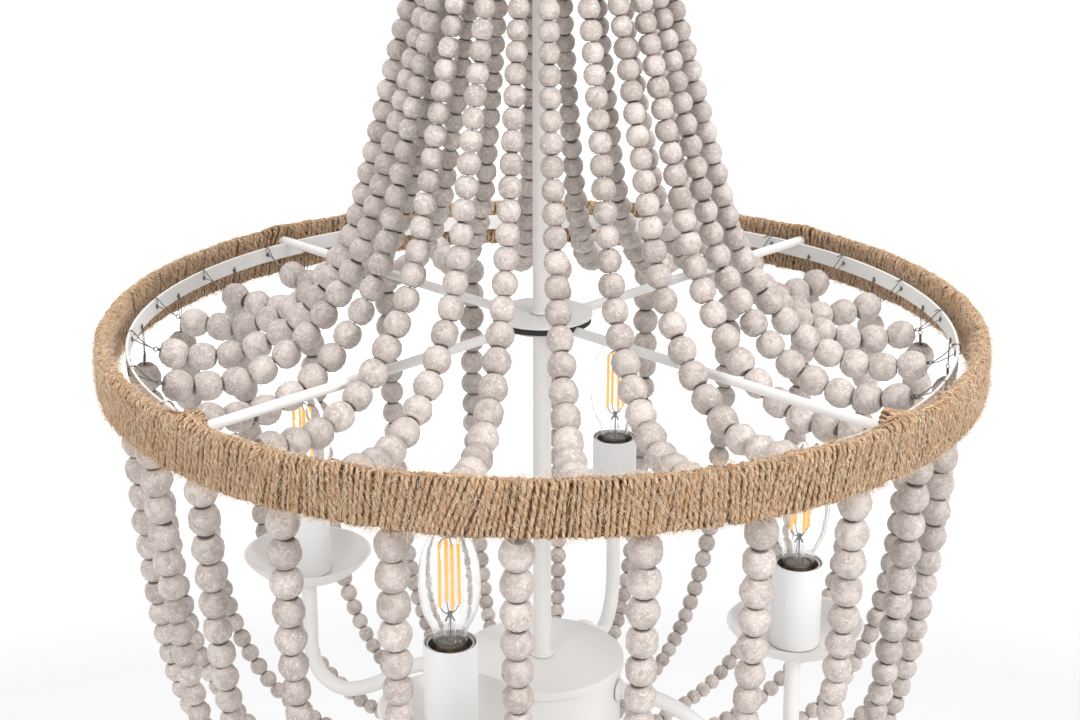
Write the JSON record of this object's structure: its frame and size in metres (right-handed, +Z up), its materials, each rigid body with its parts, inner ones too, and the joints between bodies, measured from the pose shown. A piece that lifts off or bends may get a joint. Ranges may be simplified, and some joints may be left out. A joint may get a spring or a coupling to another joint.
{
  "type": "beaded chandelier",
  "caption": "Hanging chandelier: strands of wooden beads from a top plate out to a wound ring and in under candle lamps on bent arms.",
  "frame": {"origin": "on the ceiling, over the middle of the canopy, where the bracket's top face meets it", "axes": "+Z up, square to the ceiling; -Y towards the front, +X to the right"},
  "size_m": [0.5, 0.5, 0.7393],
  "materials": {
    "white_paint": "satin white paint on steel",
    "bracket_steel": "zinc plated",
    "washed_wood": "whitewashed turned beads",
    "jute": "two-ply jute twine, wound",
    "washer_rubber": "matt black",
    "bulb_glass": "clear, polished"
  },
  "bodies": {
    "ceiling_mount": {"ceiling_bracket": "bracket_steel", "canopy": "white_paint", "canopy_loop": "white_paint"},
    "link": {"chain_link": "white_paint"},
    "fixture": {"fixture_loop": "white_paint", "centre_rod": "white_paint", "top_plate": "white_paint", "bottom_plate": "white_paint", "bottom_knob": "white_paint", "hub_cap": "white_paint", "hub_gasket": "washer_rubber", "spoke_frame": "white_paint", "inner_band": "white_paint", "jute_ring": "jute", "box_lid": "white_paint", "arm_box": "white_paint", "arm_1": "white_paint", "arm_2": "white_paint", "arm_3": "white_paint", "arm_4": "white_paint", "drip_pan_1": "white_paint", "drip_pan_2": "white_paint", "drip_pan_3": "white_paint", "drip_pan_4": "white_paint", "lamp_holder_1": "white_paint", "lamp_holder_2": "white_paint", "lamp_holder_3": "white_paint", "lamp_holder_4": "white_paint", "candle_sleeve_1": "white_paint", "candle_sleeve_2": "white_paint", "candle_sleeve_3": "white_paint", "candle_sleeve_4": "white_paint", "upper_strands_1": "washed_wood", "upper_strands_2": "washed_wood", "upper_strands_3": "washed_wood", "upper_strands_4": "washed_wood", "upper_strands_5": "washed_wood", "upper_strands_6": "washed_wood", "upper_strands_7": "washed_wood", "upper_strands_8": "washed_wood", "upper_strands_9": "washed_wood", "upper_strands_10": "washed_wood", "upper_strands_11": "washed_wood", "upper_strands_12": "washed_wood", "lower_strands_1": "washed_wood", "lower_strands_2": "washed_wood", "lower_strands_3": "washed_wood", "lower_strands_4": "washed_wood", "lower_strands_5": "washed_wood", "lower_strands_6": "washed_wood", "lower_strands_7": "washed_wood", "lower_strands_8": "washed_wood", "lower_strands_9": "washed_wood", "lower_strands_10": "washed_wood", "lower_strands_11": "washed_wood", "lower_strands_12": "washed_wood"},
    "lamp_1": {"bulb_1": "bulb_glass"},
    "lamp_2": {"bulb_2": "bulb_glass"},
    "lamp_3": {"bulb_3": "bulb_glass"},
    "lamp_4": {"bulb_4": "bulb_glass"}
  },
  "joints": [
    {"name": "link_swing", "type": "hinge", "parent": "ceiling_mount", "child": "link", "pos_m": [0, 0, -0.0593], "axis": [1, 0, 0], "range_deg": [-30, 30]},
    {"name": "fixture_swing", "type": "hinge", "parent": "link", "child": "fixture", "pos_m": [0, 0, -0.095], "axis": [0, 1, 0], "range_deg": [-30, 30]},
    {"name": "bulb_1_turn", "type": "hinge", "parent": "fixture", "child": "lamp_1", "pos_m": [-0.04804, -0.14526, -0.541], "axis": [0, 0, 1], "continuous": true},
    {"name": "bulb_2_turn", "type": "hinge", "parent": "fixture", "child": "lamp_2", "pos_m": [0.14526, -0.04804, -0.541], "axis": [0, 0, 1], "continuous": true},
    {"name": "bulb_3_turn", "type": "hinge", "parent": "fixture", "child": "lamp_3", "pos_m": [0.04804, 0.14526, -0.541], "axis": [0, 0, 1], "continuous": true},
    {"name": "bulb_4_turn", "type": "hinge", "parent": "fixture", "child": "lamp_4", "pos_m": [-0.14526, 0.04804, -0.541], "axis": [0, 0, 1], "continuous": true}
  ]
}
